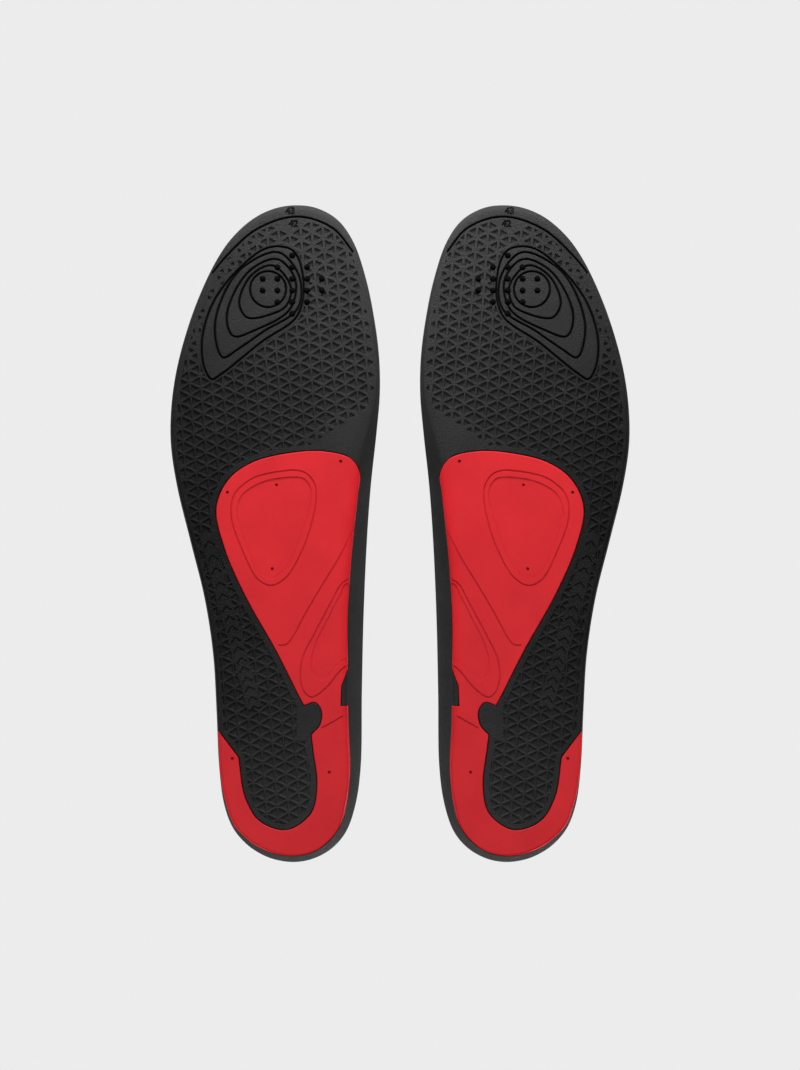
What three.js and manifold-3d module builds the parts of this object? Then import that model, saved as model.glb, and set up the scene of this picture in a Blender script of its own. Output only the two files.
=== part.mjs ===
// A pair of cushioned insoles, lying flat as they lie under the feet: +Y to the toes, +Z up,
// the left insole on -X and the right one on +X, the undersides on z = 0.
// Each insole is a moulded foam footbed with a heel cup and a raised arch, an arch and heel
// stabiliser let into its underside, two cushions let into its top, and a textile top cover.
import * as THREE from "three";
import { mergeVertices } from "three/addons/utils/BufferGeometryUtils.js";
import Module from "manifold-3d";

const wasm = await Module();
wasm.setup();

// Overall sizes, in millimetres
const insoleLength = 280;
const insoleWidth = 89.2;
const pairGap = 17;

// Thicknesses
const fit = 0.3;
const stabiliserThickness = 3;
const heelCushionThickness = 3;
const forefootCushionThickness = 2;
const webThickness = 1.6;
const waistThickness = 6.8;
const forefootThickness = 5;
const toeThickness = 4.4;
const coverThickness = 1;
const rimWidth = 1.6;

// Rises of the rim above the footbed's floor
const heelCupRise = 12;
const archRise = 17.5;
const cupPower = 2.6;

// Cushions: size and place of each oval
const heelCushionSize = [38, 48];
const heelCushionPlace = [-6.5, 39];
const forefootCushionSize = [52, 38];
const forefootCushionPlace = [-1, 203];

// Vent holes, in columns of 2, 4, 6, 4 and 2
const ventDiameter = 2.7;
const ventPitch = [6.3, 4.95];
const ventPlace = [-7.6, 246.1];
const ventColumns = [2, 4, 6, 4, 2];

// Mesh fineness
const stations = 36;
const ovalSides = 36;
const ventSides = 10;

// The right insole's outlines are points of a pattern with the heel end at y = 0, the toes on +y
// and the lateral side on +x, graded to the insole's own length and width.
const patternLength = 280;
const patternWidth = 89.2;
const grade = ([x, y]) => new THREE.Vector2(
  x * insoleWidth / patternWidth,
  y * insoleLength / patternLength,
);

// Rim outline: heel end, lateral edge up to the toe tip, medial edge back down
const lateralRim = [
  [-8, 0], [0, 1.1], [6, 3.5], [12, 7.6], [17.8, 14.5], [21.6, 24.7], [23.7, 40.7],
  [24.8, 64.6], [26.2, 88.6], [29.8, 112.5], [35.7, 136.5], [41.5, 160.4], [44.1, 178],
  [44, 193], [42, 208.3], [38, 224.3], [32.4, 240.3], [24.9, 256.2], [18, 266.2],
  [9, 274.3], [0, 278.6],
];
const medialRim = [
  [-9, 280], [-18, 278.8], [-27, 273.7], [-33.7, 264.2], [-39.1, 248.2], [-42.4, 232.3],
  [-44.5, 216.3], [-44.9, 200.3], [-43.6, 184.4], [-41, 160.4], [-39.3, 136.5],
  [-37.9, 104.5], [-37.2, 72.6], [-36.7, 40.7], [-34.5, 24.7], [-30, 12.7], [-24, 6.2],
  [-16, 1.3],
];

// Outline of the stabiliser, in runs that are smooth between their corners
const archPadRun = [
  [-31.3, 83], [-31.2, 104], [-33, 132], [-35.6, 157], [-36.4, 165.4], [-32.6, 172],
  [-20.1, 175.2], [-4, 174], [9.8, 170.2], [19.6, 163], [24.7, 151], [21.3, 134.2],
  [12.5, 113.9], [-0.8, 90.2], [-9.9, 72.1],
];
const tabRun = [[-12.6, 67.1], [-17.4, 68.4], [-20.1, 64.6], [-19.4, 58.6], [-15.8, 54.5]];
const windowRun = [
  [-16.4, 49], [-18.2, 33], [-15.6, 21], [-5.2, 14], [6.4, 17.8], [12.6, 28], [15.4, 45],
];
const heelRun = [
  [26.4, 59.6], [26.2, 44], [23.6, 29], [18.4, 17.6], [10.4, 9.2], [4.3, 5.6], [-1, 3.9],
  [-8, 3.1], [-16.7, 4.9], [-22.8, 9.2], [-27.1, 14.5], [-30.3, 22.6], [-31.6, 31],
  [-32.6, 48], [-31.6, 67.1],
];
const notchRun = [[-28.2, 66.7], [-28.5, 75.4]];

// Edge shape along the foot: [share of the length, value], medial and lateral
const edges = {
  medial: {
    rise: [[0, heelCupRise], [0.2, heelCupRise], [0.42, archRise], [0.52, archRise * 0.7], [0.7, 0]],
    flare: [[0, 3], [0.1, 4.4], [0.22, 6.2], [0.42, 6.7], [0.6, 5], [0.72, 1.2], [1, 0.8]],
    roundWidth: [[0, 2.4], [0.25, 4], [0.42, 7], [0.56, 8], [0.64, 8], [0.78, 3], [1, 2.5]],
    roundHeight: [[0, 1.2], [0.25, 1.6], [0.42, 2.2], [0.56, 2.3], [0.66, 1.6], [0.78, 1], [1, 0.8]],
  },
  lateral: {
    rise: [[0, heelCupRise], [0.12, heelCupRise * 0.9], [0.36, 4], [0.6, 0]],
    flare: [[0, 3], [0.07, 1.4], [0.14, 0.6], [1, 0.8]],
    roundWidth: [[0, 2.4], [0.14, 1.6], [1, 2.5]],
    roundHeight: [[0, 1.2], [0.14, 0.9], [1, 0.8]],
  },
};
const heelFloor = stabiliserThickness + webThickness + heelCushionThickness + 2 * fit;
const floorKeys = [
  [0, heelFloor], [0.26, heelFloor], [0.46, waistThickness], [0.7, forefootThickness],
  [1, toeThickness],
];

// Value at a share of the length, eased between its keys
function keyed(keys, share) {
  const last = keys.findIndex(([at]) => at >= share);
  if (last === 0) return keys[0][1];
  if (last < 0) return keys[keys.length - 1][1];
  const [from, start] = keys[last - 1];
  const [to, end] = keys[last];
  return THREE.MathUtils.lerp(start, end, THREE.MathUtils.smoothstep(share, from, to));
}

// The rim outline as one closed curve, and its point at a height on either side
const rimPoints = [...lateralRim, ...medialRim].map(grade);
const rimCurve = new THREE.CatmullRomCurve3(
  rimPoints.map((p) => new THREE.Vector3(p.x, p.y, 0)),
  true,
  "centripetal",
);
const toeShare = lateralRim.length / rimPoints.length;

function rimAt(side, y) {
  const heelEnd = side === "lateral" ? 0 : 1;
  let low = heelEnd;
  let high = toeShare;
  for (let step = 0; step < 40; step++) {
    const middle = (low + high) / 2;
    if (rimCurve.getPoint(middle).y < y) low = middle;
    else high = middle;
  }
  return rimCurve.getPoint((low + high) / 2);
}

// Stations along the foot, closer together at both ends; the ribs of the surface run from each
// rim point to the spine, which stops short of the heel and the toe so that the ends fan out
const heelCentre = 0.11 * insoleLength;
const toeCentre = 0.85 * insoleLength;

function spineAt(y) {
  const held = THREE.MathUtils.clamp(y, heelCentre, toeCentre);
  return rimAt("lateral", held).add(rimAt("medial", held)).multiplyScalar(0.5);
}

function rimStation(index, side) {
  const y = insoleLength * (1 - Math.cos(Math.PI * index / stations)) / 2;
  const share = y / insoleLength;
  const edge = rimAt(side, y);
  const shape = edges[side];
  return {
    edge,
    spine: spineAt(y),
    rise: keyed(shape.rise, share),
    flare: keyed(shape.flare, share),
    roundWidth: keyed(shape.roundWidth, share),
    roundHeight: keyed(shape.roundHeight, share),
  };
}

const perimeter = [];
for (let i = 0; i <= stations; i++) perimeter.push(rimStation(i, "lateral"));
for (let i = stations - 1; i > 0; i--) perimeter.push(rimStation(i, "medial"));

// One ring of the surface: a distance in from the rim and a height, for each rim station; the
// height may start from the floor's own height at the ring's point
function ring(insetOf, heightOf) {
  return perimeter.map((station) => {
    const reach = station.edge.distanceTo(station.spine);
    const inset = Math.min(insetOf(station, reach), reach);
    const point = station.edge.clone().lerp(station.spine, inset / reach);
    point.z = heightOf(station, keyed(floorKeys, point.y / insoleLength));
    return point;
  });
}

// A closed surface through rings, each of its quads split along the shorter diagonal
function skin(rings) {
  const count = rings[0].length;
  const points = rings.flat();
  const indices = [];
  for (let r = 0; r + 1 < rings.length; r++) {
    for (let i = 0; i < count; i++) {
      const j = (i + 1) % count;
      const [a, b, c, d] = [r * count + i, r * count + j, (r + 1) * count + j, (r + 1) * count + i];
      const shorter = points[a].distanceTo(points[c]) < points[b].distanceTo(points[d]);
      if (shorter) indices.push(a, b, c, a, c, d);
      else indices.push(a, b, d, b, c, d);
    }
  }
  const geometry = new THREE.BufferGeometry().setFromPoints(points);
  geometry.setIndex(indices);
  return closed(geometry);
}

// Shared vertices merged, and triangles with two corners in one place left out
function closed(geometry) {
  geometry.deleteAttribute("normal");
  geometry.deleteAttribute("uv");
  const merged = mergeVertices(geometry, 1e-4);
  const corners = merged.index.array;
  const kept = [];
  for (let i = 0; i < corners.length; i += 3) {
    const [a, b, c] = corners.slice(i, i + 3);
    if (a !== b && b !== c && c !== a) kept.push(a, b, c);
  }
  merged.setIndex(kept);
  return merged;
}

function toSolid(geometry) {
  const merged = closed(geometry);
  return new wasm.Manifold(new wasm.Mesh({
    numProp: 3,
    vertProperties: new Float32Array(merged.attributes.position.array),
    triVerts: new Uint32Array(merged.index.array),
  }));
}

function toGeometry(solid) {
  const mesh = solid.getMesh();
  const geometry = new THREE.BufferGeometry();
  geometry.setAttribute("position", new THREE.BufferAttribute(mesh.vertProperties, 3));
  geometry.setIndex(new THREE.BufferAttribute(mesh.triVerts, 1));
  return geometry;
}

// Shares of the way from the spine to the rim at which the top surface is followed
const cupShares = [0.94, 0.85, 0.72, 0.55, 0.3, 0];

function topRings(lift, edgeInset) {
  return [
    ring(() => edgeInset, (s, floor) => floor + s.rise + lift),
    ring(() => rimWidth, (s, floor) => floor + s.rise + lift),
    ...cupShares.map((share) => ring(
      (s, reach) => rimWidth + (reach - rimWidth) * (1 - share),
      (s, floor) => floor + s.rise * share ** cupPower + lift,
    )),
  ];
}

// The rounded lower edge, from the flat underside out and up to the foot of the wall
function roundedEdgeRing(angle) {
  return ring(
    (s) => s.flare + s.roundWidth * (1 - Math.sin(angle)),
    (s) => s.roundHeight * (1 - Math.cos(angle)),
  );
}

function footbedBlank() {
  const underside = [
    ring((s, reach) => reach, () => 0),
    roundedEdgeRing(0),
    roundedEdgeRing(Math.PI / 4),
    roundedEdgeRing(Math.PI / 2),
  ];
  return toSolid(skin([...underside, ...topRings(0, 0)]));
}

function topCover() {
  const under = topRings(fit, fit).reverse();
  const over = topRings(fit + coverThickness, fit);
  return skin([...under, ...over]);
}

// Outlines and prisms
function runPoints(run, steps) {
  return new THREE.SplineCurve(run.map(grade)).getPoints(steps * (run.length - 1));
}

function stabiliserOutline() {
  return [
    ...runPoints(archPadRun, 4),
    ...runPoints(tabRun, 3),
    ...runPoints(windowRun, 4),
    ...runPoints(heelRun, 4),
    ...runPoints(notchRun, 1),
  ];
}

// Each side of the outline moved outward by a distance; the outline runs clockwise
function widened(points, distance) {
  return points.map((point, i) => {
    const before = points[(i + points.length - 1) % points.length];
    const after = points[(i + 1) % points.length];
    const into = point.clone().sub(before).normalize();
    const out = after.clone().sub(point).normalize();
    const normal = new THREE.Vector2(-into.y - out.y, into.x + out.x).normalize();
    const corner = Math.max(0.5, -normal.x * out.y + normal.y * out.x);
    return point.clone().addScaledVector(normal, distance / corner);
  });
}

function prism(points, bottom, top) {
  const geometry = new THREE.ExtrudeGeometry(new THREE.Shape(points), {
    depth: top - bottom,
    bevelEnabled: false,
  });
  return toSolid(geometry.translate(0, 0, bottom));
}

function oval(size, place, extra) {
  const centre = grade(place);
  const curve = new THREE.EllipseCurve(
    centre.x,
    centre.y,
    size[0] / 2 + extra,
    size[1] / 2 + extra,
  );
  return curve.getPoints(ovalSides).slice(0, -1);
}

function ventHoles() {
  const centre = grade(ventPlace);
  const holes = [];
  ventColumns.forEach((count, column) => {
    const x = centre.x + (column - (ventColumns.length - 1) / 2) * ventPitch[0];
    for (let row = 0; row < count; row++) {
      const y = centre.y + (row - (count - 1) / 2) * ventPitch[1];
      const drill = new THREE.CylinderGeometry(ventDiameter / 2, ventDiameter / 2, 2 * above, ventSides);
      holes.push(toSolid(drill.rotateX(Math.PI / 2).translate(x, y, 0)));
    }
  });
  return holes;
}

// The solids of the right insole
const below = -1;
const above = heelFloor + archRise + heelCupRise;
const stabiliserTop = stabiliserThickness;
const heelCushionBottom = stabiliserTop + fit + webThickness + fit;
const forefootCushionBottom = forefootThickness - forefootCushionThickness;

function insoleShapes() {
  const blank = footbedBlank();
  const outline = stabiliserOutline();
  const stabiliser = blank.intersect(prism(outline, below, stabiliserTop));
  const cushionIn = (size, place, bottom) => blank.intersect(prism(oval(size, place, 0), bottom, above));
  const recessFor = (size, place, bottom) => prism(oval(size, place, fit), bottom - fit, above);
  let footbed = blank
    .subtract(prism(widened(outline, fit), below, stabiliserTop + fit))
    .subtract(recessFor(heelCushionSize, heelCushionPlace, heelCushionBottom))
    .subtract(recessFor(forefootCushionSize, forefootCushionPlace, forefootCushionBottom));
  for (const hole of ventHoles()) footbed = footbed.subtract(hole);
  return {
    footbed: toGeometry(footbed),
    arch_stabiliser: toGeometry(stabiliser),
    heel_cushion: toGeometry(cushionIn(heelCushionSize, heelCushionPlace, heelCushionBottom)),
    forefoot_cushion: toGeometry(
      cushionIn(forefootCushionSize, forefootCushionPlace, forefootCushionBottom),
    ),
    top_cover: topCover(),
  };
}

const finishes = {
  footbed: { color: 0x2b2c2e, roughness: 0.85, metalness: 0 },
  arch_stabiliser: { color: 0xd2282d, roughness: 0.6, metalness: 0 },
  heel_cushion: { color: 0x8e9298, roughness: 0.7, metalness: 0 },
  forefoot_cushion: { color: 0x8e9298, roughness: 0.7, metalness: 0 },
  top_cover: { color: 0x3a3d42, roughness: 0.95, metalness: 0 },
};

// The left insole is the right one seen in a mirror, so its triangles are turned round
function mirrored(geometry) {
  const copy = geometry.clone();
  copy.scale(-1, 1, 1);
  const corners = copy.index.array;
  for (let i = 0; i < corners.length; i += 3) {
    [corners[i], corners[i + 1]] = [corners[i + 1], corners[i]];
  }
  return copy;
}

const innermost = Math.min(...perimeter.map((station) => station.edge.x));
const placeX = pairGap / 2 - innermost;
const shapes = insoleShapes();
const group = new THREE.Group();

for (const [side, direction] of [["right", 1], ["left", -1]]) {
  const insole = new THREE.Group();
  insole.position.set(direction * placeX, -insoleLength / 2, 0);
  for (const [piece, geometry] of Object.entries(shapes)) {
    const shape = direction > 0 ? geometry.clone() : mirrored(geometry);
    const mesh = new THREE.Mesh(shape, new THREE.MeshStandardMaterial(finishes[piece]));
    mesh.name = `${side}_${piece}`;
    insole.add(mesh);
  }
  group.add(insole);
}

export default group;
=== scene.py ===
import math

import bmesh
import bpy
from mathutils import Matrix, Vector
from mathutils.geometry import interpolate_bezier


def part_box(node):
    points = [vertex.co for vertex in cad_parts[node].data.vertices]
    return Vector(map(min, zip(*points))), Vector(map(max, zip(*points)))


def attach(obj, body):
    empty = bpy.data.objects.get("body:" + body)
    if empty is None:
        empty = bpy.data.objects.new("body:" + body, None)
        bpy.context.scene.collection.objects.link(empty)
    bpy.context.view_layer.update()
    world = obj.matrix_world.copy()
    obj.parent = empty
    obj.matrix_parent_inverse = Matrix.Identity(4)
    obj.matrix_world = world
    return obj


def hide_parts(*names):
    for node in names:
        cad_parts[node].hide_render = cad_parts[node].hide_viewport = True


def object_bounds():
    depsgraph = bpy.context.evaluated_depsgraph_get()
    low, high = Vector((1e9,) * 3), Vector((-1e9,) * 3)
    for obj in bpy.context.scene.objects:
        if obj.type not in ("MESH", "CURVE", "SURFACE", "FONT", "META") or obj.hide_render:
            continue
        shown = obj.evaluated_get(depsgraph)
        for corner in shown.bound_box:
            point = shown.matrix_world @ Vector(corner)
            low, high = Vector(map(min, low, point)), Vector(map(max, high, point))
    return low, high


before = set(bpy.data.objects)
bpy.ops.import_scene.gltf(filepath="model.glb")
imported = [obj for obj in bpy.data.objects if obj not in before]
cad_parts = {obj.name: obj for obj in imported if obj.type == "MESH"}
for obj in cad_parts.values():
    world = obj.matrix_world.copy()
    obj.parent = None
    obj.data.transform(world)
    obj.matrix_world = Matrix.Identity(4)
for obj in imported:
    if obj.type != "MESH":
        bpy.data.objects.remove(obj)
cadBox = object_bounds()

scene = bpy.context.scene
print("frame loaded:", len(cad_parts), "nodes")

# Every insole piece is drawn in millimetres as a right insole, heel end at y = 0, toes on +y, the
# outer side of the foot on +x, underside on z = 0, and then graded and moved onto the CAD footbed.
last = {
    "length": 280.0,
    "lateral": [
        (-8, 0), (0, 1.1), (6, 3.5), (12, 7.6), (17.8, 14.5), (21.6, 24.7), (23.7, 40.7),
        (24.8, 64.6), (26.2, 88.6), (29.8, 112.5), (35.7, 136.5), (41.5, 160.4), (44.1, 178),
        (44, 193), (42, 208.3), (38, 224.3), (32.4, 240.3), (24.9, 256.2), (18, 266.2),
        (9, 274.3), (0, 278.6),
    ],
    "medial": [
        (-9, 280), (-18, 278.8), (-27, 273.7), (-33.7, 264.2), (-39.1, 248.2), (-42.4, 232.3),
        (-44.5, 216.3), (-44.9, 200.3), (-43.6, 184.4), (-41, 160.4), (-39.3, 136.5),
        (-37.9, 104.5), (-37.2, 72.6), (-36.7, 40.7), (-34.5, 24.7), (-30.4, 12.9), (-24.2, 5.7),
        (-16, 1.3),
    ],
    "stations": 130,  # along each side
    "heelCentre": 0.11,  # where the spine starts and ends, as shares of the length
    "toeCentre": 0.85,
}


merge = 1e-4  # points nearer than this, in mm, are one
coarse, fine = 8, 10  # steps between two points of a drawn curve


def asVectors(points):
    return [Vector(point).to_3d() for point in points]


def tangent(before, here, after):
    back = max((here - before).length, merge) ** 0.5
    ahead = max((after - here).length, merge) ** 0.5
    return (here - before) / back - (after - before) / (back + ahead) + (after - here) / ahead


def smoothRun(points, steps, closed=False):  # an even curve through the points
    knots = asVectors(points)
    if closed:
        knots = [knots[-1], *knots, knots[0], knots[1]]
    else:
        knots = [2 * knots[0] - knots[1], *knots, 2 * knots[-1] - knots[-2]]
    run = []
    for before, start, end, after in zip(knots, knots[1:], knots[2:], knots[3:]):
        reach = (end - start).length ** 0.5 / 3
        leave = start + tangent(before, start, end) * reach
        arrive = end - tangent(start, end, after) * reach
        run += interpolate_bezier(start, leave, arrive, end, steps + 1)[:-1]
    return run if closed else run + [knots[-2]]


def eased(low, high, value):
    share = min(max((value - low) / (high - low), 0), 1)
    return share * share * (3 - 2 * share)


def keyed(keys, share):  # value at a share of the length, eased between its keys
    for (start, low), (end, high) in zip(keys, keys[1:]):
        if share <= end:
            return low + (high - low) * eased(start, end, share)
    return keys[-1][1]


rimSteps = 14
rimLine = smoothRun(last["lateral"] + last["medial"], rimSteps, closed=True)
toeIndex = rimSteps * len(last["lateral"])
rimSides = {
    "lateral": rimLine[: toeIndex + 1],
    "medial": [rimLine[0], *reversed(rimLine[toeIndex:])],
}


def edgeAt(side, y):  # the rim's point at that distance from the heel end
    run = rimSides[side]
    low, high = 0, len(run) - 1
    while high - low > 1:
        middle = (low + high) // 2
        low, high = (middle, high) if run[middle].y <= y else (low, middle)
    span = run[high].y - run[low].y
    share = min(max((y - run[low].y) / span, 0), 1) if span else 0
    return run[low].lerp(run[high], share)


# Edge shape along the foot: share of the length and millimetres
edges = {
    "medial": {
        "rise": [(0, 12), (0.2, 12), (0.42, 17.5), (0.52, 12.2), (0.7, 0), (1, 0)],
        "flare": [(0, 3), (0.1, 4.4), (0.22, 6.2), (0.42, 6.7), (0.6, 5), (0.72, 1.2), (1, 0.8)],
        "roundWidth": [
            (0, 0.9), (0.12, 1.2), (0.25, 4), (0.42, 7), (0.56, 8), (0.64, 8), (0.78, 3), (1, 2.5),
        ],
        "roundHeight": [
            (0, 0.7), (0.12, 0.8), (0.25, 1.6), (0.42, 2.2), (0.56, 2.3), (0.66, 1.6), (0.78, 1),
            (1, 0.8),
        ],
    },
    "lateral": {
        "rise": [(0, 12), (0.12, 10.8), (0.36, 4), (0.6, 0), (1, 0)],
        "flare": [(0, 3), (0.07, 1.4), (0.14, 0.6), (1, 0.8)],
        "roundWidth": [(0, 0.9), (0.14, 1.2), (0.3, 1.6), (1, 2.5)],
        "roundHeight": [(0, 0.7), (0.14, 0.7), (0.3, 0.9), (1, 0.8)],
    },
}
floorKeys = [(0, 8.2), (0.26, 8.2), (0.46, 6.8), (0.7, 5), (1, 4.4)]
cup = {
    "power": 2.6,
    "rimWidth": 1.6,
    "shares": [0.97, 0.92, 0.85, 0.77, 0.67, 0.55, 0.42, 0.28, 0.14, 0],
}


def makeStations():
    heel, toe = last["heelCentre"] * last["length"], last["toeCentre"] * last["length"]
    count = last["stations"]
    order = [("lateral", i) for i in range(count + 1)]
    order += [("medial", i) for i in range(count - 1, 0, -1)]
    stations = []
    for side, i in order:
        y = last["length"] * (1 - math.cos(math.pi * i / count)) / 2
        held = min(max(y, heel), toe)
        station = {name: keyed(keys, y / last["length"]) for name, keys in edges[side].items()}
        station["edge"] = edgeAt(side, y)
        station["spine"] = (edgeAt("lateral", held) + edgeAt("medial", held)) / 2
        station["reach"] = (station["edge"] - station["spine"]).length
        stations.append(station)
    return stations


stations = makeStations()


def ring(insetOf, heightOf):  # a distance in from the rim and a height, for each station
    points = []
    for station in stations:
        inset = min(insetOf(station), station["reach"])
        point = station["edge"].lerp(station["spine"], inset / station["reach"])
        point.z = heightOf(station, keyed(floorKeys, point.y / last["length"]))
        points.append(point)
    return points


def raisedFrom(x, y):  # where a line straight up at that place meets the blank
    start = Vector((x, y, -blankShape["below"]))
    hit, place = blank.ray_cast(start, Vector((0, 0, 1)))[:2]
    return place.z if hit else None


def undersideAt(x, y):  # height of the underside above its lowest plane
    height = raisedFrom(x, y)
    return 0.0 if height is None else min(height, blankShape["highestUnderside"])


# Mesh helpers


def linked(name, data):
    piece = bpy.data.objects.new(name, data)
    scene.collection.objects.link(piece)
    return piece


def meshFrom(bm, name):
    bmesh.ops.triangulate(bm, faces=bm.faces)
    bmesh.ops.recalc_face_normals(bm, faces=bm.faces)
    if bm.calc_volume(signed=True) < 0:
        bmesh.ops.reverse_faces(bm, faces=bm.faces)
    mesh = bpy.data.meshes.new(name)
    bm.to_mesh(mesh)
    bm.free()
    return linked(name, mesh)


def loft(rings):  # one closed loop of edges, drawn out from ring to ring
    bm = bmesh.new()
    place = bm.verts.layers.int.new("place")
    corners = [bm.verts.new(point) for point in rings[0]]
    for i, corner in enumerate(corners):
        corner[place] = i
    loop = [bm.edges.new(pair) for pair in zip(corners, corners[1:] + corners[:1])]
    for points in rings[1:]:
        drawn = bmesh.ops.extrude_edge_only(bm, edges=loop)["geom"]
        fresh = {part for part in drawn if isinstance(part, bmesh.types.BMVert)}
        for corner in fresh:
            corner.co = points[corner[place]]
        loop = [
            part for part in drawn
            if isinstance(part, bmesh.types.BMEdge) and fresh.issuperset(part.verts)
        ]
    return bm


def closed(bm):  # open ends capped
    bmesh.ops.holes_fill(bm, edges=bm.edges, sides=0)
    return bm


def applied(piece):  # the piece's modifiers made part of its mesh
    shown = piece.evaluated_get(bpy.context.evaluated_depsgraph_get())
    mesh = bpy.data.meshes.new_from_object(shown)
    piece.modifiers.clear()
    piece.data = mesh
    return piece


def carve(piece, tool, operation="DIFFERENCE"):  # the tool is used up
    cut = piece.modifiers.new("carve", "BOOLEAN")
    cut.solver = "MANIFOLD"
    cut.operation = operation
    cut.object = tool
    before = len(piece.data.polygons)
    applied(piece)
    print("  carved", piece.name, "with", tool.name, before, "->", len(piece.data.polygons))
    bpy.data.objects.remove(tool)
    return piece


def copied(piece, name):
    return linked(name, piece.data.copy())


# Outlines
leastCorner = 0.5  # keeps a sharp corner from being drawn far out


def widened(points, distance):  # each side moved outward; the outline runs clockwise
    moved = []
    for before, here, after in zip(points[-1:] + points[:-1], points, points[1:] + points[:1]):
        into, out = (here - before).normalized(), (after - here).normalized()
        normal = Vector((-into.y - out.y, into.x + out.x, 0)).normalized()
        corner = max(leastCorner, normal.y * out.x - normal.x * out.y)
        moved.append(here + normal * distance / corner)
    return moved


def stack(name, outline, levels):  # a prism through (distance outward, height) levels
    rings = []
    for distance, height in levels:
        rings.append([point + Vector((0, 0, height)) for point in widened(outline, distance)])
    return meshFrom(closed(loft(rings)), name)


def groove(name, points, radius, sink, closedRun=False):  # a round cutter along the underside
    line = bpy.data.curves.new(name, "CURVE")
    line.dimensions = "3D"
    line.bevel_depth = radius
    line.bevel_resolution = 1
    line.use_fill_caps = True
    spline = line.splines.new("POLY")
    spline.points.add(len(points) - 1)
    for knot, point in zip(spline.points, points):
        height = undersideAt(point.x, point.y)
        knot.co = (point.x, point.y, height - sink * radius, 1)
    spline.use_cyclic_u = closedRun
    return welded(linked(name, line), name)


def welded(source, name):  # a curve or text made into one closed mesh
    bm = bmesh.new()
    bm.from_mesh(bpy.data.meshes.new_from_object(source))
    bpy.data.objects.remove(source)
    bmesh.ops.remove_doubles(bm, verts=bm.verts, dist=merge)
    return meshFrom(bm, name)


def joined(pieces, name):
    bm = bmesh.new()
    for piece in pieces:
        bm.from_mesh(piece.data)
        bpy.data.objects.remove(piece)
    return meshFrom(bm, name)


# Footbed blank: the outer shape that the footbed and the stabiliser share
blankShape = {
    "arcs": 7,
    "support": 0.8,
    "wallLevels": [0.25, 0.5, 0.75, 0.93],
    "wallBulge": 1.15,
    "rimRound": 0.35,
    "highestUnderside": 2.4,
    "below": 5,  # how far under the sole its height is measured from
}


def makeBlank():
    support = blankShape["support"]
    rings = [ring(lambda s: s["flare"] + s["roundWidth"] + support, lambda s, floor: 0)]
    for i in range(blankShape["arcs"]):
        angle = math.pi / 2 * i / (blankShape["arcs"] - 1)
        rings.append(ring(
            lambda s: s["flare"] + s["roundWidth"] * (1 - math.sin(angle)),
            lambda s, floor: s["roundHeight"] * (1 - math.cos(angle)),
        ))
    for level in blankShape["wallLevels"]:
        rings.append(ring(
            lambda s: s["flare"] * (1 - level) ** blankShape["wallBulge"],
            lambda s, floor: s["roundHeight"] + (floor + s["rise"] - s["roundHeight"]) * level,
        ))
    edge = blankShape["rimRound"]
    rings.append(ring(lambda s: 0, lambda s, floor: floor + s["rise"] - edge))
    rings.append(ring(lambda s: edge, lambda s, floor: floor + s["rise"]))
    rings += topRings(0)
    bm = loft(rings)
    bmesh.ops.remove_doubles(bm, verts=bm.verts, dist=merge)
    return meshFrom(closed(bm), "footbedBlank")


def topRings(lift):
    rings = [ring(lambda s: cup["rimWidth"], lambda s, floor: floor + s["rise"] + lift)]
    for share in cup["shares"]:
        rings.append(ring(
            lambda s: cup["rimWidth"] + (s["reach"] - cup["rimWidth"]) * (1 - share),
            lambda s, floor: floor + s["rise"] * share ** cup["power"] + lift,
        ))
    return rings


blank = makeBlank()
print("blank:", len(blank.data.polygons), "faces")


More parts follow.
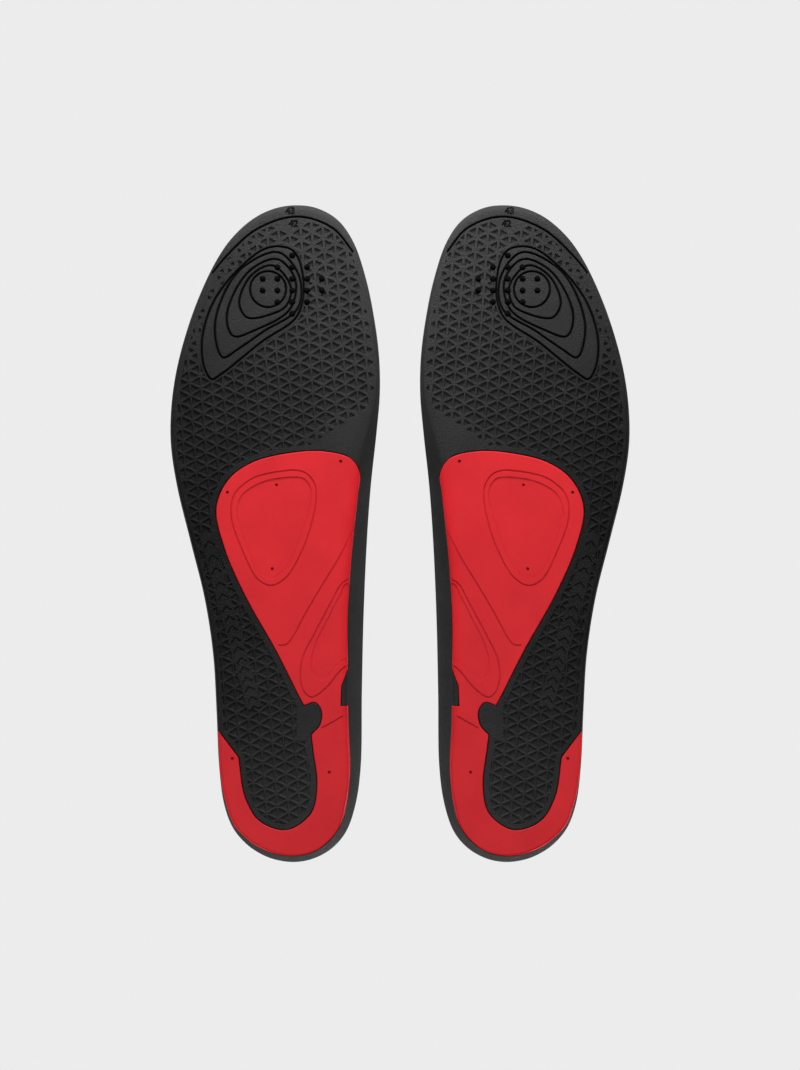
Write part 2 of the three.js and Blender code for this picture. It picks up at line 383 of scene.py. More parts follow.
# Stabiliser: one dense moulding, from the arch pad through a neck to the heel horseshoe
stabiliser = {
    "thickness": 3.0,
    "gap": 0.28,
    "chamfer": 0.3,
    "archPad": [
        (-31.3, 83), (-31.2, 104), (-33, 132), (-35.6, 157), (-36.4, 165.4), (-32.6, 172),
        (-20.1, 175.2), (-4, 174), (9.8, 170.2), (19.6, 163), (24.7, 151), (21.3, 134.2),
        (12.5, 113.9), (-0.8, 90.2), (-9.9, 72.1),
    ],
    "tab": [(-12.6, 67.1), (-17.4, 68.4), (-20.1, 64.6), (-19.4, 58.6), (-15.8, 54.5)],
    "window": [
        (-16.4, 49), (-18.2, 33), (-15.6, 21), (-5.2, 14), (6.4, 17.8), (12.6, 28), (15.4, 45),
    ],
    "heel": [
        (26.4, 59.6), (26.2, 44), (23.6, 29), (18.4, 17.6), (10.4, 9.2), (4.3, 5.6), (-1, 3.9),
        (-8, 3.1), (-16.7, 4.9), (-22.8, 9.2), (-27.1, 14.5), (-30.3, 22.6), (-31.6, 31),
        (-32.6, 48), (-31.6, 67.1),
    ],
    "notch": [(-28.2, 66.7), (-28.5, 75.4)],
    "teardrop": [
        (-4.7, 167), (-9.3, 167.2), (-14, 165.6), (-17.2, 161), (-17.8, 155.3), (-15.4, 143.1),
        (-10.8, 130.9), (-4.7, 121.3), (1.4, 118.2), (7.1, 120.9), (13.6, 133.1), (18.4, 147.7),
        (17.1, 156.8), (9.8, 163.5), (2.9, 165.8),
    ],
    "teardropStep": [
        (-1.7, 163.7), (-7.8, 164.3), (-12.3, 163.7), (-15.2, 160.2), (-15.6, 155),
        (-11.6, 140.8), (-8.5, 132.4), (-4.7, 125.5), (1.4, 121.1), (7.1, 124.7), (13.6, 140),
        (16.1, 150), (13.6, 156.8), (9, 160.3), (3.7, 162.6),
    ],
    "panel": [
        (-50, 121), (-31.2, 120.6), (-28, 118.2), (-25, 112.7), (-16.2, 96.1), (-12.5, 88.7),
        (-11.1, 82.9), (-11.2, 77.7), (-12.5, 73.3), (-15.6, 70.7), (-18.8, 72), (-22.8, 75.5),
        (-31.2, 84.3), (-50, 86),
    ],
    "panelStep": [
        (-50, 119), (-30.6, 118.9), (-28, 114.5), (-22.1, 102.7), (-17.7, 93.9), (-15.8, 86.5),
        (-16.1, 81.4), (-19.2, 78), (-22.1, 79.3), (-30.9, 87.3), (-50, 88),
    ],
    "diagonal": [
        (-33.6, 142), (-26.8, 128.8), (-20.1, 117.9), (-13.3, 106.4), (-7.4, 95.6), (-5.1, 93.1),
        (-1.7, 92.8),
    ],
    "heelLine": [(-20.1, 57.5), (-29.2, 62.6)],
    "pins": [(-28.2, 171), (20, 157.8), (-0.9, 161), (0.9, 125.3), (17.9, 44.6), (-23.4, 38.7)],
    "outlineSteps": {"archPad": fine, "tab": coarse, "window": fine, "heel": fine, "notch": 3},
    "besideSteps": {"archPad": coarse, "tab": 6, "window": coarse, "heel": coarse},
    "pinRadius": 0.62,
    "pinTaper": (1.4, 0.8),
    "pinLength": 5,
    "pinSides": 12,
    "lineRadius": 0.42,
    "lineSink": -0.45,
    "fineRadius": 0.3,
    "step": 0.35,
    "stepWidth": 0.5,
    "stepSlope": 1.5,
    "below": 1,  # how far the cutters reach past the underside
    "above": 6,
}


def stabiliserOutline(steps):
    run = []
    for name, count in steps.items():
        run += smoothRun(stabiliser[name], count)
    return run


def stabiliserPrism(name, extra, chamfer, height):  # extra is how much wider it is all round
    low, foot = -stabiliser["below"], extra + chamfer
    levels = [(foot, low), (foot, 0), (extra, abs(chamfer)), (extra, height)]
    return stack(name, stabiliserOutline(stabiliser["outlineSteps"]), levels)


def makeStabiliser():
    piece = copied(blank, "stabiliser")
    chamfer, thickness = stabiliser["chamfer"], stabiliser["thickness"]
    carve(piece, stabiliserPrism("stabiliserPrism", 0, -chamfer, thickness), "INTERSECT")
    radius, sink = stabiliser["lineRadius"], stabiliser["lineSink"]
    for name in ("teardrop", "panel"):
        inner = smoothRun(stabiliser[name + "Step"], coarse, closed=True)
        carve(piece, shallow(name + "Step", inner))
        outer = smoothRun(stabiliser[name], coarse, closed=True)
        carve(piece, groove(name + "Edge", inner, stabiliser["fineRadius"], sink, True))
        carve(piece, groove(name, outer, radius, sink, True))
    for name in ("diagonal", "heelLine"):
        carve(piece, groove(name, smoothRun(stabiliser[name], coarse), radius, sink))
    carve(piece, joined([pin(place) for place in stabiliser["pins"]], "pins"))
    return piece


def shallow(name, outline):  # a recess of even depth that follows the underside
    deep, half = stabiliser["step"], stabiliser["stepWidth"] / 2
    low, high = -stabiliser["below"], stabiliser["above"]
    slope = stabiliser["stepSlope"] * deep
    tool = stack(name, outline, [(half, low), (half, 0), (-half, slope), (-half, high)])
    above = copied(blank, "above")
    above.data.transform(Matrix.Translation((0, 0, deep)))
    return carve(tool, above)


def pin(place):
    bm = bmesh.new()
    low, high = (stabiliser["pinRadius"] * share for share in stabiliser["pinTaper"])
    bmesh.ops.create_cone(
        bm, cap_ends=True, segments=stabiliser["pinSides"], radius1=low, radius2=high,
        depth=stabiliser["pinLength"],
    )
    bmesh.ops.translate(bm, vec=(*place, undersideAt(*place)), verts=bm.verts)
    return meshFrom(bm, "pin")


# Footbed: moulded foam with pockets, grooves, vents and the recess for the stabiliser
footbed = {
    "pocketSide": 5.45,
    "pocketTilt": 25.7,
    "pocketNode": (26.2, 199.7),
    "pocketGrid": (30, 72),
    "pocketDepth": {"toe": 0.85, "heel": 0.52, "change": (150, 215)},
    "pocketDraft": 0.78,
    "pocketCorner": 0.35,
    "pocketMouth": 0.22,
    "mouthBelow": 0.3,
    "rib": {"toe": 1.2, "heel": 0.75, "change": (190, 255)},
    "worn": {"share": 0.4, "along": (205, 222), "gap": (7, 13)},
    "medialFade": {"from": 150, "gap": (-1, 6)},
    "archFade": {"from": 170, "place": (-41, 197), "across": (0.52, 0.86), "gap": (-7, 2)},
    "plainToe": {"from": 269.3, "middle": -8, "half": 6},
    "leastOpen": 0.3,  # a pocket less open than this is left out
    "pocketSpan": (43, 137.5),
    "border": 2.7,
    "borderBesideEdge": 1.5,
    "stripBesideStabiliser": 2.7,
    "areaLevels": (-2, 4),
    "smoothTab": [(-9.5, 71), (-22, 71), (-22, 52), (-9.5, 52)],
    "contours": [
        [
            (15, 238.5), (12.5, 232.7), (9.8, 231.7), (1.6, 233.4), (-5.1, 237.1), (-6.9, 245.3),
            (0.9, 254.2), (9.8, 250),
        ],
        [
            (20.1, 234.4), (18.9, 225.6), (16.6, 223.9), (9.1, 226.3), (-6.5, 235.4), (-8.9, 248),
            (-1.1, 256.9), (11.1, 251.4),
        ],
        [
            (25.4, 227.6), (22, 215.1), (15.2, 218.8), (4.3, 226.3), (-9.9, 235.8), (-10.6, 249.3),
            (-1.7, 259.8), (12.5, 254.1), (20.6, 243.9),
        ],
        [
            (30.8, 222.9), (29.8, 210.7), (26.7, 205.8), (22.7, 207.9), (5.7, 221.5), (-9.9, 233),
            (-12.3, 248), (-7.9, 260.5), (2.3, 261.9), (15.2, 252.7), (26, 238.5),
        ],
    ],
    "contourBorder": 1.0,
    "roundContour": (2.7, 244.1, 7.65),
    "roundContourSides": 48,
    # radius of each cutter, and the share of it that its middle lies outside the foam
    "contourCuts": [(1.3, 0.78), (0.6, -0.2), (0.55, -1.35)],
    "trimLine": [
        (26.5, 251), (20.6, 258), (7.1, 269.9), (-9.9, 275), (-24.8, 270.1), (-33.5, 260),
    ],
    "trimBorder": 1.6,
    "insideTrim": [(-60, 230), (-60, -5), (60, -5), (60, 230)],
    "ventRadius": 1.35,
    "ventTaper": (1.06, 0.92),
    "ventSides": 20,
    "ventLength": 20,
    "ventPitch": (6.3, 4.95),
    "ventPlace": (-7.6, 246.1),
    "ventColumns": (2, 4, 6, 4, 2),
    "marks": [(8.4, 66), (14.5, 88), (21.5, 112), (29.4, 142)],
    "markSteps": 40,
    "markCount": 17,
    "markSize": (2.2, 2.2),
    "markRadius": 0.5,
    "markSink": -0.5,
    "markBand": 3.1,
    "numerals": [("43", (-6.8, 277.4)), ("42", (-8.1, 272.0))],
    "numeralSize": 4.0,
    "numeralBold": 0.22,
    "numeralDepth": 1.0,
    "numeralSteps": 3,
}
latticeAngle = math.radians(60)


def openness(x, y):  # how far open a pocket is, from 0 to 1
    worn, medial = footbed["worn"], footbed["medialFade"]
    arch, toe = footbed["archFade"], footbed["plainToe"]
    lateralGap = edgeAt("lateral", y).x - x
    medialGap = x - edgeAt("medial", y).x
    share = 1 - worn["share"] * eased(*worn["along"], y) * (1 - eased(*worn["gap"], lateralGap))
    if y > medial["from"]:
        share *= eased(*medial["gap"], medialGap)
    if y > arch["from"]:
        away = Vector((x, y)) - Vector(arch["place"])
        share *= eased(*arch["gap"], away.dot(Vector(arch["across"])))
    if y > toe["from"] and abs(x - toe["middle"]) < toe["half"]:
        share = 0
    return share


def graded(name, y):  # a footbed size that changes between the heel and the toes
    size = footbed[name]
    return size["heel"] + (size["toe"] - size["heel"]) * eased(*size["change"], y)


def pocketGrid(bm):  # a grid of triangles over the whole insole, one of its nodes on pocketNode
    side, (columns, rows) = footbed["pocketSide"], footbed["pocketGrid"]
    lean, height = math.cos(latticeAngle), math.sin(latticeAngle)
    bmesh.ops.create_grid(bm, x_segments=columns, y_segments=rows, size=0.5)
    bmesh.ops.scale(bm, vec=(side * columns, side * height * rows, 1), verts=bm.verts)
    for corner in bm.verts:
        corner.co.x += corner.co.y * lean / height
    turn = Matrix.Rotation(math.radians(footbed["pocketTilt"]), 3, "Z")
    bmesh.ops.rotate(bm, cent=(0, 0, 0), matrix=turn, verts=bm.verts)
    along = turn @ Vector((side, 0, 0))
    across = turn @ Vector((side * lean, side * height, 0))
    node = Vector(footbed["pocketNode"]).to_3d()
    away = Vector((0, last["length"] / 2, 0)) - node
    area = along.cross(across).z
    steps, climbs = round(away.cross(across).z / area), round(along.cross(away).z / area)
    bmesh.ops.translate(bm, vec=node + along * steps + across * climbs, verts=bm.verts)
    bmesh.ops.triangulate(bm, faces=bm.faces, quad_method="SHORT_EDGE")


def onInsole(place):
    wide, long = footbed["pocketSpan"]
    return abs(place.x) < wide and abs(place.y - last["length"] / 2) < long


def makePockets():
    bm = bmesh.new()
    pocketGrid(bm)
    shut = []
    for cell in bm.faces:
        centre = cell.calc_center_median()
        if not onInsole(centre) or openness(centre.x, centre.y) < footbed["leastOpen"]:
            shut.append(cell)
    bmesh.ops.delete(bm, geom=shut, context="FACES")
    bmesh.ops.split_edges(bm, edges=bm.edges)
    inradius = footbed["pocketSide"] * math.sin(latticeAngle) / 3
    for cell in bm.faces:
        centre = cell.calc_center_median()
        share = (1 - graded("rib", centre.y) / 2 / inradius) * openness(centre.x, centre.y)
        lift = Vector((0, 0, undersideAt(centre.x, centre.y)))
        for corner in cell.verts:
            corner.co = centre.lerp(corner.co, share) + lift
    bmesh.ops.bevel(
        bm, geom=bm.verts, affect="VERTICES", offset=footbed["pocketCorner"], segments=1,
        profile=0.5, material=-1,
    )
    mouth, below = footbed["pocketMouth"], footbed["mouthBelow"]
    wider = 1 + (1 + below) * mouth / inradius
    resize(bm.faces, wider, lambda y: -below * mouth)
    necks = drawnUp(bm, bm.faces[:], 1 / wider, lambda y: (1 + below) * mouth)
    drawnUp(bm, necks, footbed["pocketDraft"], lambda y: graded("pocketDepth", y) - mouth)
    bmesh.ops.delete(bm, geom=necks, context="FACES_ONLY")
    return meshFrom(bm, "pockets")


def resize(faces, share, liftAt):  # each face about its own middle, then lifted
    for face in faces:
        centre = face.calc_center_median()
        lift = Vector((0, 0, liftAt(centre.y)))
        for corner in face.verts:
            corner.co = centre.lerp(corner.co, share) + lift


def drawnUp(bm, faces, share, liftAt):  # each face drawn up from its own outline
    grown = bmesh.ops.extrude_face_region(bm, geom=faces, use_keep_orig=True)["geom"]
    caps = [part for part in grown if isinstance(part, bmesh.types.BMFace)]
    resize(caps, share, liftAt)
    return caps


def areaOf(points, name):
    return stack(name, points, [(0, height) for height in footbed["areaLevels"]])


def contourLines():
    lines = [smoothRun(points, coarse, closed=True) for points in footbed["contours"]]
    x, y, radius = footbed["roundContour"]
    bm = bmesh.new()
    sides = footbed["roundContourSides"]
    circle = bmesh.ops.create_circle(bm, segments=sides, radius=radius)["verts"]
    bmesh.ops.translate(bm, vec=(x, y, 0), verts=circle)
    lines.append([corner.co.copy() for corner in circle])
    bm.free()
    return lines


def markPlaces():
    run = smoothRun(footbed["marks"], footbed["markSteps"])
    count = footbed["markCount"]
    places = []
    for i in range(count):
        at = round(i * (len(run) - 2) / (count - 1))
        places.append((run[at], (run[at + 1] - run[at]).normalized()))
    return places


def markBand():
    half = footbed["markBand"]
    left, right = [], []
    for place, along in markPlaces():
        across = Vector((-along.y, along.x, 0)) * half
        left.append(place + across)
        right.append(place - across)
    return left + right[::-1]


def makeMarks():
    marks = []
    wide, tall = footbed["markSize"]
    for place, along in markPlaces():
        across = Vector((-along.y, along.x, 0)) * wide
        rise = along * tall / 2
        line = [place - across - rise, place + rise, place + across - rise]
        marks.append(groove("mark", line, footbed["markRadius"], footbed["markSink"]))
    return joined(marks, "marks")


def pocketField():
    field = makePockets()
    border, beside = footbed["border"], footbed["borderBesideEdge"]
    inner = ring(lambda s: max(border, s["flare"] + beside), lambda s, floor: 0)
    carve(field, areaOf(inner[::-1], "lattice area"), "INTERSECT")
    back = Vector((0, footbed["trimBorder"], 0))
    trim = [point - back for point in smoothRun(footbed["trimLine"], coarse)]
    carve(field, areaOf(trim + asVectors(footbed["insideTrim"]), "trim area"), "INTERSECT")
    strip = widened(stabiliserOutline(stabiliser["besideSteps"]), footbed["stripBesideStabiliser"])
    carve(field, areaOf(strip, "beside the stabiliser"))
    outer = contourLines()[len(footbed["contours"]) - 1]
    carve(field, areaOf(widened(outer, footbed["contourBorder"]), "contour area"))
    carve(field, areaOf(markBand(), "mark band"))
    carve(field, areaOf(asVectors(footbed["smoothTab"]), "tab area"))
    return field


def makeVents():
    bm = bmesh.new()
    x, y = footbed["ventPlace"]
    across, along = footbed["ventPitch"]
    low, high = (footbed["ventRadius"] * share for share in footbed["ventTaper"])
    middle = (len(footbed["ventColumns"]) - 1) / 2
    for column, count in enumerate(footbed["ventColumns"]):
        for row in range(count):
            hole = bmesh.ops.create_cone(
                bm, cap_ends=True, segments=footbed["ventSides"], radius1=low, radius2=high,
                depth=footbed["ventLength"],
            )["verts"]
            place = (x + (column - middle) * across, y + (row - (count - 1) / 2) * along, 0)
            bmesh.ops.translate(bm, vec=place, verts=hole)
    return meshFrom(bm, "vents")


def makeFootbed():
    piece = copied(blank, "footbed")
    gap, height = stabiliser["gap"], stabiliser["thickness"] + stabiliser["gap"]
    carve(piece, stabiliserPrism("stabiliserRecess", gap, stabiliser["chamfer"], height))
    carve(piece, pocketField())
    lines = [(line, True) for line in contourLines()]
    lines.append((smoothRun(footbed["trimLine"], fine), False))
    for line, closedRun in lines:
        for radius, sink in footbed["contourCuts"]:
            carve(piece, groove("contour", line, radius, sink, closedRun))
    for name in cushions:
        carve(piece, ovalBlock(name, cushionFit["gap"], cushionFit["chamfer"]))
    carve(piece, makeVents())
    carve(piece, makeMarks())
    return piece


def markDepth(piece, side):  # how far in from the blank's underside each point lies, in mm, which the foam uses for painted shade
    depths = piece.data.attributes.new("depth", "FLOAT", "POINT").data
    for corner, depth in zip(piece.data.vertices, depths):
        height = raisedFrom(corner.co.x * side, corner.co.y)
        depth.value = 0.0 if height is None else corner.co.z - height


def carveNumerals(piece, side):  # size numerals, which read the right way on both insoles
    for words, (x, y) in footbed["numerals"]:
        text = bpy.data.curves.new("numeral", "FONT")
        text.body = words
        text.size = footbed["numeralSize"]
        text.extrude = footbed["numeralDepth"]
        text.offset = footbed["numeralBold"]
        text.align_x, text.align_y = "CENTER", "CENTER"
        text.resolution_u = footbed["numeralSteps"]
        numeral = welded(linked("numeral", text), "numeral")
        over = Matrix.Rotation(math.pi, 4, "Y")
        numeral.data.transform(Matrix.Translation((x * side, y, 0)) @ over)
        for corner in numeral.data.vertices:
            corner.co.z += undersideAt(corner.co.x * side, corner.co.y)
        carve(piece, numeral)


# Top cover and the two cushions under it
cover = {"lift": 0.08, "thickness": 1.0, "edge": 0.2, "areaShare": 0.76}
cushions = {
    "heel_cushion": {"size": (38, 48), "place": (-6.5, 39), "bottom": 5.2},
    "forefoot_cushion": {"size": (52, 38), "place": (-1, 203), "bottom": 3.0},
}
cushionFit = {"gap": 0.3, "chamfer": 0.8, "chamferSteps": 3, "above": 40, "sides": 72}


def ovalBlock(name, extra, chamfer):
    shape = cushions[name]
    bm = bmesh.new()
    bmesh.ops.create_circle(bm, cap_ends=True, segments=cushionFit["sides"], radius=0.5)
    size = [side + 2 * extra for side in shape["size"]]
    bmesh.ops.scale(bm, vec=(*size, 1), verts=bm.verts)
    bmesh.ops.translate(bm, vec=(*shape["place"], shape["bottom"] - extra), verts=bm.verts)
    grown = bmesh.ops.extrude_face_region(bm, geom=bm.faces[:], use_keep_orig=True)["geom"]
    raised = [part for part in grown if isinstance(part, bmesh.types.BMVert)]
    bmesh.ops.translate(bm, vec=(0, 0, cushionFit["above"]), verts=raised)
    middle = shape["bottom"] + cushionFit["above"] / 2
    low = [edge for edge in bm.edges if max(end.co.z for end in edge.verts) < middle]
    bmesh.ops.bevel(
        bm, geom=low, affect="EDGES", offset=chamfer, segments=cushionFit["chamferSteps"],
        profile=0.5, material=-1,
    )
    return meshFrom(bm, name)


def makeCushion(name):
    return carve(ovalBlock(name, 0, cushionFit["chamfer"]), copied(blank, "blank"), "INTERSECT")


def makeCover():
    lift = cover["lift"]
    rings = [ring(lambda s: cover["edge"], lambda s, floor: floor + s["rise"] + lift)]
    rings += topRings(lift)
    bm = loft(rings)
    bmesh.ops.remove_doubles(bm, verts=bm.verts, dist=merge)
    piece = meshFrom(bm, "topCover")
    if any(face.normal.z < 0 for face in piece.data.polygons):
        piece.data.flip_normals()
    wall = piece.modifiers.new("cloth", "SOLIDIFY")
    wall.thickness = cover["thickness"]
    wall.offset = 1
    return applied(piece)


# Shader maths


class Signal:
    def __init__(self, recipe, socket):
        self.recipe, self.socket = recipe, socket

    def __add__(self, other):
        return self.recipe.maths("ADD", self, other)

    def __rsub__(self, other):
        return self.recipe.maths("SUBTRACT", other, self)

    def __mul__(self, other):
        return self.recipe.maths("MULTIPLY", self, other)

    __radd__ = __add__
    __rmul__ = __mul__


class Recipe:
    def __init__(self, name):
        self.material = bpy.data.materials.new(name)
        self.material.use_nodes = True
        self.tree = self.material.node_tree
        self.tree.nodes.clear()
        self.output = self.tree.nodes.new("ShaderNodeOutputMaterial")

    def node(self, kind, settings=None, inputs=None, out=0):
        node = self.tree.nodes.new(kind)
        for name, value in (settings or {}).items():
            setattr(node, name, value)
        for name, value in (inputs or {}).items():
            if isinstance(value, Signal):
                self.tree.links.new(value.socket, node.inputs[name])
            else:
                node.inputs[name].default_value = value
        return Signal(self, node.outputs[out])

    def maths(self, operation, first, second=0.0):
        return self.node("ShaderNodeMath", {"operation": operation}, {0: first, 1: second})

    def millimetres(self):
        place = self.node("ShaderNodeTexCoord", out="Object")
        return self.node("ShaderNodeVectorMath", {"operation": "SCALE"}, {0: place, "Scale": 1000.0})

    def noise(self, place, scale, detail=3.0, roughness=0.5):
        inputs = {"Vector": place, "Scale": scale, "Detail": detail, "Roughness": roughness}
        return self.node("ShaderNodeTexNoise", None, inputs)

    def cells(self, place, scale):
        return self.node("ShaderNodeTexVoronoi", None, {"Vector": place, "Scale": scale})

    def blend(self, share, first, second):
        inputs = {0: share, 6: first, 7: second}
        return self.node("ShaderNodeMix", {"data_type": "RGBA"}, inputs, out=2)

    def spread(self, value, low, high, toLow=0.0, toHigh=1.0):
        inputs = {"Value": value, 1: low, 2: high, 3: toLow, 4: toHigh}
        return self.node("ShaderNodeMapRange", {"clamp": True}, inputs)

    def parts(self, vector):
        split = self.node("ShaderNodeSeparateXYZ", None, {0: vector}).socket.node
        return [Signal(self, socket) for socket in split.outputs]

    def bumped(self, height, distance):
        return self.node("ShaderNodeBump", None, {"Height": height, "Distance": distance})

    def finished(self, shader):
        self.tree.links.new(shader.socket, self.output.inputs["Surface"])
        return self.material

    def surface(self, inputs):
        return self.finished(self.node("ShaderNodeBsdfPrincipled", None, inputs))


foam = {
    "dark": (0.0010, 0.0011, 0.0012, 1),
    "light": (0.0430, 0.0432, 0.0438, 1),
    "grain": 1.3,
    "grainDepth": 0.0005,
    "pores": 2.4,
    "mottle": 0.06,
    # painted sheen: the foam's base colour is made lighter toward the toes, the heel and the inner
    # sides
    "paintedSheenShift": 15,
    "paintedSheenAlong": (25, 150),
    "paintedSheenAcross": (25, 90),
    "paintedSheenTone": 0.7,
    "mottleTone": 0.15,
    # painted shade in grooves and pockets: the depths in mm over which the foam is painted dark
    "paintedGrooveShade": (0.85, 1.1),
    "rough": (0.5, 0.68),
    "specular": 0.13,
    "trimmedHeight": (0.8, 1.2),
    "trimmedAlong": (20, 60),
    "trimmedRough": 0.45,
    "trimmedSmooth": 0.85,
}


def footbedFoam():
    recipe = Recipe("footbedFoam")
    place = recipe.millimetres()
    grain = recipe.noise(place, foam["grain"], 4.0, 0.6)
    pores = recipe.cells(place, foam["pores"])
    mottle = recipe.noise(place, foam["mottle"], 4.0)
    x, y, z = recipe.parts(place)
    # painted sheen, held in worn: the foam is painted lighter toward the toes and the heel and
    # toward the inner sides that face the other insole
    side, along = recipe.maths("ABSOLUTE", x), recipe.maths("ABSOLUTE", y + foam["paintedSheenShift"])
    paintedSheenEnds = recipe.spread(along, *foam["paintedSheenAlong"])
    paintedSheenMiddle = 1 - recipe.spread(side, *foam["paintedSheenAcross"])
    worn = 0.6 * paintedSheenEnds + 0.4 * paintedSheenMiddle
    # painted shade: grooves and pockets are painted darker the deeper they go; depth is how far in a
    # point lies, in mm
    depth = recipe.node("ShaderNodeAttribute", {"attribute_name": "depth"}, out="Fac")
    patches = recipe.spread(0.5 * mottle + 0.5 * grain, 0.35, 0.65)
    tone = foam["paintedSheenTone"] * worn + foam["mottleTone"] * patches
    tone = tone * (1 - recipe.spread(depth, *foam["paintedGrooveShade"]))
    # the trimmed edge round the toes is matt and smooth
    trimmed = recipe.spread(z, *foam["trimmedHeight"]) * recipe.spread(y, *foam["trimmedAlong"])
    relief = (0.7 * grain + 0.3 * pores) * (1 - foam["trimmedSmooth"] * trimmed)
    roughness = recipe.spread(grain, 0.3, 0.7, *foam["rough"]) + foam["trimmedRough"] * trimmed
    return recipe.surface({
        "Base Color": recipe.blend(tone, foam["dark"], foam["light"]),
        "Roughness": roughness,
        "Normal": recipe.bumped(relief, foam["grainDepth"]),
        "Specular IOR Level": foam["specular"],
    })


red = {
    "deep": (0.540, 0.0090, 0.0160, 1),
    "bright": (0.610, 0.0125, 0.0185, 1),
    "grain": 2.0,
    "grainDepth": 0.00006,
    "mottle": 0.05,
    "rough": (0.5, 0.62),
    "specular": 0.22,
}


def stabiliserRed():
    recipe = Recipe("stabiliserRed")
    place = recipe.millimetres()
    grain = recipe.noise(place, red["grain"], 4.0, 0.55)
    mottle = recipe.noise(place, red["mottle"])
    tone = recipe.spread(0.7 * mottle + 0.3 * grain, 0.35, 0.65)
    return recipe.surface({
        "Base Color": recipe.blend(tone, red["deep"], red["bright"]),
        "Roughness": recipe.spread(grain, 0.3, 0.7, *red["rough"]),
        "Normal": recipe.bumped(grain, red["grainDepth"]),
        "Specular IOR Level": red["specular"],
    })


knit = {
    "yarn": (0.035, 0.037, 0.041, 1),
    "shade": (0.008, 0.0085, 0.0095, 1),
    "wale": 1.15,
    "course": 0.95,
    "slant": 0.9,
    "fuzz": 5.0,
    "heather": 0.4,
    "depth": 0.0003,
    "rough": 0.9,
    "sheen": 0.25,
    "sheenRough": 0.5,
}


def coverTextile():
    recipe = Recipe("coverTextile")
    place = recipe.millimetres()
    x, y = recipe.parts(place)[:2]
    wale = recipe.maths("PINGPONG", x, knit["wale"] / 2)
    course = recipe.maths("SINE", (y + knit["slant"] * wale) * (2 * math.pi / knit["course"]))
    ridge = recipe.maths("SINE", wale * (2 * math.pi / knit["wale"]))
    fuzz = recipe.noise(place, knit["fuzz"])
    height = 0.6 * recipe.spread(course, -1, 1) + 0.3 * ridge + 0.25 * fuzz
    heather = recipe.noise(place, knit["heather"], 4.0, 0.7)
    tone = recipe.spread(0.75 * height + 0.4 * heather, 0.35, 0.95)
    return recipe.surface({
        "Base Color": recipe.blend(tone, knit["shade"], knit["yarn"]),
        "Roughness": knit["rough"],
        "Normal": recipe.bumped(height, knit["depth"]),
        "Sheen Weight": knit["sheen"],
        "Sheen Roughness": knit["sheenRough"],
    })


cushionFoam = {
    "pale": (0.42, 0.45, 0.50, 1),
    "dark": (0.28, 0.30, 0.34, 1),
    "cell": 1.6,
    "cellDepth": 0.0002,
    "grain": 3.0,
    "rough": 0.8,
}


def cushionMaterial():
    recipe = Recipe("cushionFoam")
    place = recipe.millimetres()
    cells = recipe.cells(place, cushionFoam["cell"])
    grain = recipe.noise(place, cushionFoam["grain"], 4.0)
    tone = recipe.spread(0.7 * cells + 0.3 * grain, 0.15, 0.7)
    return recipe.surface({
        "Base Color": recipe.blend(tone, cushionFoam["dark"], cushionFoam["pale"]),
        "Roughness": cushionFoam["rough"],
        "Normal": recipe.bumped(cells, cushionFoam["cellDepth"]),
    })


# Placing the pair
slots = {
    "footbed": "footbed_foam", "arch_stabiliser": "stabiliser_red", "top_cover": "cover_textile",
    "heel_cushion": "cushion_foam", "forefoot_cushion": "cushion_foam",
}
smoothAngle = math.radians(35)  # edges sharper than this stay crisp
flatNormal = 0.9998  # level faces, whose normal has at least this z, are shaded flat


def placeOn(piece, side, name, material):  # graded to the CAD footbed's length and moved there
    low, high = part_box(f"{side}_footbed")
    scale = (high.y - low.y) / last["length"]
    inner = min(point.x for point in rimLine) * scale
    shift = low.x - inner if side == "right" else high.x + inner
    bm = bmesh.new()
    bm.from_mesh(piece.data)
    bmesh.ops.scale(bm, vec=(scale, scale, scale), verts=bm.verts)
    bmesh.ops.translate(bm, vec=(shift, low.y, 0), verts=bm.verts)
    for face in bm.faces:
        face.smooth = abs(face.normal.z) < flatNormal
    for edge in bm.edges:
        edge.smooth = len(edge.link_faces) == 2 and edge.calc_face_angle(0) < smoothAngle
    mesh = bpy.data.meshes.new(name)
    bm.to_mesh(mesh)
    bm.free()
    finished = linked(name, mesh)
    mesh.materials.append(material)
    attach(finished, "root")
    return finished


def mirrored(piece, name):
    bm = bmesh.new()
    bm.from_mesh(piece.data)
    bmesh.ops.scale(bm, vec=(-1, 1, 1), verts=bm.verts)
    bmesh.ops.reverse_faces(bm, faces=bm.faces)
    mesh = bpy.data.meshes.new(name)
    bm.to_mesh(mesh)
    bm.free()
    return linked(name, mesh)


def makePair():
    shapes = {
        "footbed": makeFootbed(), "arch_stabiliser": makeStabiliser(), "top_cover": makeCover(),
    }
    for name in cushions:
        shapes[name] = makeCushion(name)
    materials = {
        "footbed_foam": footbedFoam(), "stabiliser_red": stabiliserRed(),
        "cover_textile": coverTextile(), "cushion_foam": cushionMaterial(),
    }
    for side, sign in (("right", 1), ("left", -1)):
        for name, shape in shapes.items():
            body = copied(shape, "body") if side == "right" else mirrored(shape, "body")
            if name == "footbed":
                carveNumerals(body, sign)
                markDepth(body, sign)
            slot = slots[name]
            piece = placeOn(body, side, f"{side}_{name}_visual", materials[slot])
            bpy.data.objects.remove(body)
            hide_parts(f"{side}_{name}")
            if name == "top_cover":
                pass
            elif name != "arch_stabiliser":
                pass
            print(piece.name, len(piece.data.polygons), "faces")
    for shape in [blank, *shapes.values()]:
        bpy.data.objects.remove(shape)


makePair()

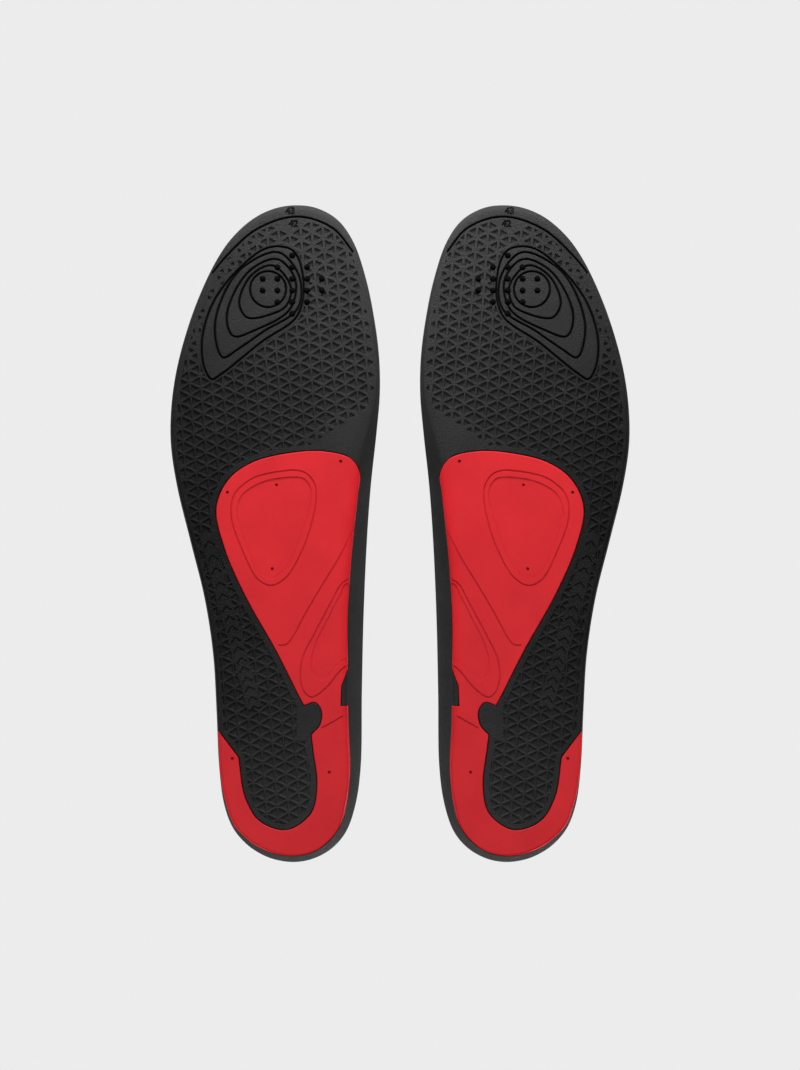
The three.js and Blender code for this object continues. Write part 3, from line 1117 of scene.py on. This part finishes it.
# Studio
studio = {
    "background": (0.838, 0.838, 0.838, 1),
    "ambient": 0.12,
    "lens": 500,
    "sensor": 36,
    "farthest": 20,
    "viewHeight": 0.4553,
    "viewCentre": (0.0, -0.0004),
    "floor": (0.68, 0.68, 0.68, 1),
    "floorSize": 6,
    "floorGap": 0.0004,
    "floorGlow": 0.72,
    "lights": [
        {"name": "keyBelow", "place": (0, 0.85, -0.4), "size": (1.1, 0.3), "power": 9.8},
        {"name": "toeBelow", "place": (0, 0.34, -0.16), "size": (0.3, 0.1), "power": 1.0},
        {"name": "fillBelow", "place": (0, -0.4, -1.6), "size": (1, 0.6), "power": 8.4},
        {"name": "skyAbove", "place": (0, 0, 1.6), "size": (3.2, 3.2), "power": 11},
    ],
    "suns": [
        {"name": "keyAbove", "place": (-0.3, -0.3, 1), "power": 3.8},
        {"name": "toeAbove", "place": (0.2, 0.7, 1.2), "power": 1.5},
        {"name": "heelSide", "place": (0, -1, 0.15), "power": 2},
        {"name": "rightSide", "place": (1, 0, 0.15), "power": 2},
        {"name": "leftSide", "place": (-1, 0, 0.15), "power": 2},
    ],
    "sunSpread": 50,
}


def makeCamera():
    data = bpy.data.cameras.new("camera")
    data.lens = studio["lens"]
    data.sensor_width = studio["sensor"]
    camera = linked("camera", data)
    distance = studio["viewHeight"] * data.lens / data.sensor_width
    camera.location = (*studio["viewCentre"], -distance)
    camera.rotation_euler = (0, math.pi, 0)
    data.clip_end = studio["farthest"]
    scene.camera = camera


def makeLight(name, place, size, power):  # a soft panel that faces the middle of the pair
    data = bpy.data.lights.new(name, "AREA")
    data.shape = "RECTANGLE"
    data.size, data.size_y = size
    data.energy = power
    aimed(linked(name, data), place)


def makeSun(name, place, power):  # even, soft light on the top, the sides and the floor
    data = bpy.data.lights.new(name, "SUN")
    data.angle = math.radians(studio["sunSpread"])
    data.energy = power
    aimed(linked(name, data), place).visible_glossy = False


def aimed(lamp, place):
    lamp.location = place
    lamp.rotation_euler = (-Vector(place)).to_track_quat("-Z", "Y").to_euler()
    lamp.visible_camera = False
    return lamp


def makeFloor():
    bm = bmesh.new()
    bmesh.ops.create_grid(bm, x_segments=1, y_segments=1, size=studio["floorSize"])
    bmesh.ops.translate(bm, vec=(0, 0, cadBox[0].z - studio["floorGap"]), verts=bm.verts)
    mesh = bpy.data.meshes.new("floor")
    bm.to_mesh(mesh)
    bm.free()
    floor = linked("floor", mesh)
    recipe = Recipe("floorPaper")
    matt = recipe.node("ShaderNodeBsdfDiffuse", None, {"Color": studio["floor"]})
    lit = recipe.node("ShaderNodeEmission", None, {"Color": studio["floor"]})
    paper = recipe.node("ShaderNodeMixShader", None, {0: studio["floorGlow"], 1: matt, 2: lit})
    clear = recipe.node("ShaderNodeBsdfTransparent")
    under = recipe.node("ShaderNodeNewGeometry", out="Backfacing")
    sheet = recipe.node("ShaderNodeMixShader", None, {0: under, 1: paper, 2: clear})
    mesh.materials.append(recipe.finished(sheet))
    floor.visible_shadow = False
    floor.visible_diffuse = False
    floor.visible_glossy = False


def makeWorld():
    world = bpy.data.worlds.new("studio")
    scene.world = world
    world.use_nodes = True
    tree = world.node_tree
    tree.nodes.clear()
    rays = tree.nodes.new("ShaderNodeLightPath")
    level = tree.nodes.new("ShaderNodeMapRange")
    level.inputs["To Min"].default_value = studio["ambient"]
    glow = tree.nodes.new("ShaderNodeBackground")
    glow.inputs["Color"].default_value = studio["background"]
    output = tree.nodes.new("ShaderNodeOutputWorld")
    tree.links.new(rays.outputs["Is Camera Ray"], level.inputs["Value"])
    tree.links.new(level.outputs["Result"], glow.inputs["Strength"])
    tree.links.new(glow.outputs["Background"], output.inputs["Surface"])


scene.view_settings.view_transform = "Standard"
makeCamera()
makeFloor()
makeWorld()
for lamp in studio["lights"]:
    makeLight(**lamp)
for lamp in studio["suns"]:
    makeSun(**lamp)
print("studio ready")
